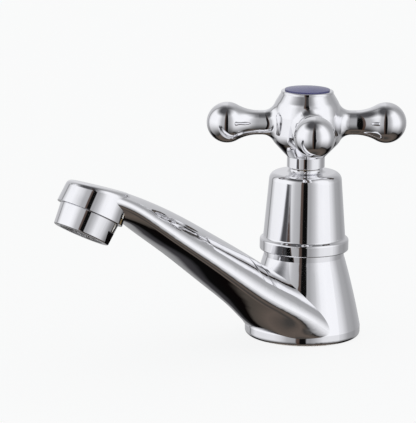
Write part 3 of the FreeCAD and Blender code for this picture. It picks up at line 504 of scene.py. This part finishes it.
tail_tube = turned_tube("tail_tube", [
    (tail_bore + bore_chamfer, tail_low), (tail_core - end_chamfer, tail_low),
    (tail_core, tail_low + end_rise), (tail_core, -shoulder_drop),
    (tail_crest - shoulder_inset, 0.0), (tail_crest - shoulder_inset, tail_high),
    (tail_bore, tail_high), (tail_bore, tail_low + bore_chamfer)], "brass")
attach(tail_tube, "body")
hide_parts("tail")

thread = tail_thread()
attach(thread, "body")


# ---------------------------------------------------------------- camera and floor

view_azimuth = math.radians(50.0)
view_elevation = math.radians(11.90)
view_roll = math.radians(1.28)
view_reach = 1155.4
view_target = Vector((0.0, 0.0, 50.0 * mm))
picture = (416.0, 423.0)
target_pixel = (304.80, 207.60)
pixels_per_mm = 2.583
focal_pixels = pixels_per_mm * view_reach

floor_reach = 6.0
floor_drop = 0.05 * mm
floor_glow_share = 0.9
floor_white = rgb(0.95, 0.952, 0.955)
backdrop_white = rgb(0.955, 0.96, 0.96)
room_white = rgb(0.97, 0.97, 0.975)


def make_camera():
    """The camera stands where the photograph was taken; the target lands on target_pixel."""
    across = Vector((math.cos(view_azimuth), math.sin(view_azimuth), 0.0))
    back = Vector((math.sin(view_azimuth) * math.cos(view_elevation),
                   -math.cos(view_azimuth) * math.cos(view_elevation),
                   math.sin(view_elevation)))
    upright = back.cross(across)
    right = across * math.cos(view_roll) + upright * math.sin(view_roll)
    top = upright * math.cos(view_roll) - across * math.sin(view_roll)
    start = Matrix((right, top, back)).transposed()
    seen = Vector((target_pixel[0] - picture[0] / 2, picture[1] / 2 - target_pixel[1],
                   -focal_pixels)).normalized()
    turn = (start @ seen).rotation_difference(-back).to_matrix()
    data = bpy.data.cameras.new("camera")
    data.sensor_width = 36.0
    data.lens = focal_pixels / max(picture) * data.sensor_width
    data.clip_end = 20.0
    camera = bpy.data.objects.new("camera", data)
    camera.matrix_world = Matrix.Translation(view_target + back * (view_reach * mm)) @ (
        turn @ start).to_4x4()
    bpy.context.scene.collection.objects.link(camera)
    bpy.context.scene.camera = camera


def make_floor():
    """A pale floor at the deck's level, with a faint shadow.  Polished metal doesn't see it."""
    mesh = bpy.data.meshes.new("floor")
    corners = [(x * floor_reach, y * floor_reach, 0.0)
               for x, y in ((-1, -1), (1, -1), (1, 1), (-1, 1))]
    mesh.from_pydata(corners, [], [(0, 1, 2, 3)])
    floor = bpy.data.objects.new("floor", mesh)
    floor.location.z = -floor_drop
    floor.visible_glossy = False
    bpy.context.scene.collection.objects.link(floor)
    material, shader = new_material("pale_floor")
    matt = shader.node("ShaderNodeBsdfDiffuse", None, {"Color": floor_white})
    bright = shader.node("ShaderNodeEmission", None, {"Color": backdrop_white, "Strength": 1.0})
    seen = shader.node("ShaderNodeLightPath")
    mixed = shader.node("ShaderNodeMixShader", None, [seen * floor_glow_share, matt, bright])
    shader.finish(mixed, "ShaderNodeOutputMaterial")
    mesh.materials.append(material)


# ---------------------------------------------------------------- the studio's light

# How bright the walls are at each bearing, from -180 to 180 degrees.
WALL_LIGHT = [
    (-180, 0.74), (-168, 0.74), (-150, 0.58), (-132, 0.54), (-129, 0.26), (-127, 0.26), (-123, 0.60),
    (-108, 0.96), (-58, 1.0), (-44, 0.84), (-30, 0.52), (-12, 0.42), (0, 0.40), (16, 0.38),
    (30, 0.60), (43, 0.94), (56, 1.0), (80, 0.98), (94, 0.66), (106, 0.42), (128, 0.36),
    (145, 0.44), (160, 0.54), (172, 0.58), (180, 0.66)]
WALL_TINT = (0.965, 0.97, 1.0)

# The table's colour at each angle below level, as a share of a right angle.
TABLE_LIGHT = [
    (0.0, (0.42, 0.42, 0.43)), (0.20, (0.36, 0.36, 0.365)), (0.29, (0.24, 0.24, 0.245)),
    (0.33, (0.045, 0.043, 0.047)), (0.375, (0.034, 0.033, 0.036)), (0.41, (0.003, 0.003, 0.003)),
    (0.51, (0.003, 0.002, 0.002)), (0.56, (0.066, 0.057, 0.049)), (0.72, (0.115, 0.092, 0.078)),
    (0.84, (0.090, 0.074, 0.064)), (0.93, (0.055, 0.050, 0.046)), (1.0, (0.050, 0.046, 0.043))]

ceiling_grey = rgb(0.075, 0.075, 0.08)
low_wall_brown = rgb(0.045, 0.042, 0.040)
slot_edge_brown = rgb(0.060, 0.030, 0.018)
slot_black = rgb(0.004, 0.004, 0.004)


def round_share(bearing):
    """Where a bearing lies on the whole round, from 0 to 1."""
    return (bearing + 180.0) / 360.0


def band(angle, low, high, soft):
    """1 between two angles, with soft edges."""
    inside = angle.smooth(low - soft, low + soft)
    return inside * (1.0 - angle.smooth(high - soft, high + soft))


class Studio:
    """White studio walls as polished metal sees them.

    bearing is how far a direction lies to the right of the one towards the camera, rise how far
    above level and dip how far below, all in degrees."""

    def __init__(self, shader):
        self.shader = shader
        x, y, z = shader.parts(shader.node("ShaderNodeTexCoord"))
        self.towards = x * math.sin(view_azimuth) - y * math.cos(view_azimuth)
        self.beside = x * math.cos(view_azimuth) + y * math.sin(view_azimuth)
        self.up = z
        degrees = 180.0 / math.pi
        self.bearing = self.beside.over(self.towards) * degrees
        self.rise = z.arc_sine() * degrees
        self.dip = 0.0 - self.rise

    def walls(self):
        """Lavender grey behind the camera, white at its sides and grey again at the back."""
        return self.shader.ramp(round_share(self.bearing), [
            (round_share(bearing), tuple(light * share for share in WALL_TINT))
            for bearing, light in WALL_LIGHT])

    def ceiling(self, colour):
        """A dim patch overhead, leaning a little to the left and the front."""
        lean_left, lean_front = 0.26, 0.18
        dim_reach, clear_reach = 0.24, 1.12
        across = self.beside / self.up + lean_left
        along = self.towards / self.up - lean_front
        far = (across * across + along * along).power(0.5)
        patch = (1.0 - far.smooth(dim_reach, clear_reach)) * self.up.smooth(0.05, 0.3)
        return self.shader.blend(patch, colour, ceiling_grey)

    def fall(self, colour):
        """The walls' light fades below the tap's level."""
        return self.shader.blend(self.dip.smooth(-3.0, 60.0), colour, low_wall_brown)

    def gap(self, colour):
        """The dark slot through which the camera looks, brown at the left and paler higher up."""
        paling, edge_weight = 0.75, 0.9
        tall = 1.0 - self.rise.smooth(40.0, 84.0) * paling
        edge = band(self.bearing, low=-12.5, high=-4.0, soft=1.8)
        slot = band(self.bearing, low=-5.5, high=8.5, soft=1.6)
        colour = self.shader.blend(edge * tall * edge_weight, colour, slot_edge_brown)
        return self.shader.blend(slot * tall, colour, slot_black)

    def table(self, colour):
        """What lies behind and below: a grey front, a black edge and a brown top."""
        front_start, rise_behind, rise_right, edge_soft = 60.0, 46.0, 16.0, 4.0
        tabletop = self.shader.ramp(self.dip / 90.0, TABLE_LIGHT)
        behind = self.bearing.absolute().smooth(104.0, 140.0)
        right = self.bearing.smooth(24.0, 52.0) * (1.0 - behind)
        start = front_start - behind * rise_behind - right * rise_right
        below = (self.dip - start).smooth(-edge_soft, edge_soft)
        return self.shader.blend(below, colour, tabletop)


def make_studio():
    """Soft white light all round.  Only polished surfaces see the studio's own parts."""
    world = bpy.data.worlds.new("studio")
    bpy.context.scene.world = world
    shader = Shader(world)
    studio = Studio(shader)
    seen_by_metal = studio.table(studio.gap(studio.fall(studio.ceiling(studio.walls()))))
    path = shader.node("ShaderNodeLightPath").link.node
    by_camera, by_metal = (Socket(shader, path.outputs[name])
                           for name in ("Is Camera Ray", "Is Glossy Ray"))
    plain = shader.blend(by_camera, room_white, backdrop_white)
    background = shader.node("ShaderNodeBackground", None, {
        "Color": shader.blend(by_metal, plain, seen_by_metal), "Strength": 1.0})
    shader.finish(background, "ShaderNodeOutputWorld")


make_camera()
make_floor()
make_studio()
bpy.context.scene.view_settings.view_transform = "Standard"
